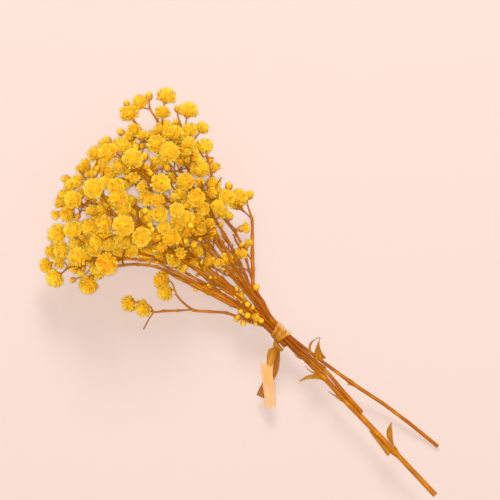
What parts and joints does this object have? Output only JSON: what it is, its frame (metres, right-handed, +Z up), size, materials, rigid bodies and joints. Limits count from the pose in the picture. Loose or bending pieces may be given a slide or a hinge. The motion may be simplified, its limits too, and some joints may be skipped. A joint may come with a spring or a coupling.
{
  "type": "dried gypsophila bunch",
  "caption": "Small bunch of dried gypsophila, dyed yellow, lying down: a domed crown of fluffy florets on fine forked twigs, stalks held by a strip of raffia, and long bare stems below it.",
  "frame": {"origin": "middle of the bunch's box, on the surface that it lies on", "axes": "+X along the bunch towards the cut ends, +Z up from the surface that it lies on"},
  "size_m": [0.1844, 0.0836, 0.0403],
  "materials": {
    "floret": "dry papery petals, matte",
    "stalk": "dried stalk, satin",
    "leaf": "dried leaf, matte",
    "raffia": "ribbed palm strip, satin"
  },
  "bodies": {
    "root": {"spray_right_edge": "floret", "spray_right_top": "floret", "spray_far_high": "floret", "spray_far_edge": "floret", "spray_left_top": "floret", "spray_left_edge": "floret", "spray_top_centre": "floret", "spray_low_left": "floret", "spray_low_near": "floret", "spray_low_twig": "floret", "spray_near_centre": "floret", "spray_near_top": "floret", "spray_under_left": "floret", "spray_under_low": "floret", "spray_under_top": "floret", "raffia_band": "raffia", "raffia_tails": "raffia"}
  },
  "joints": []
}
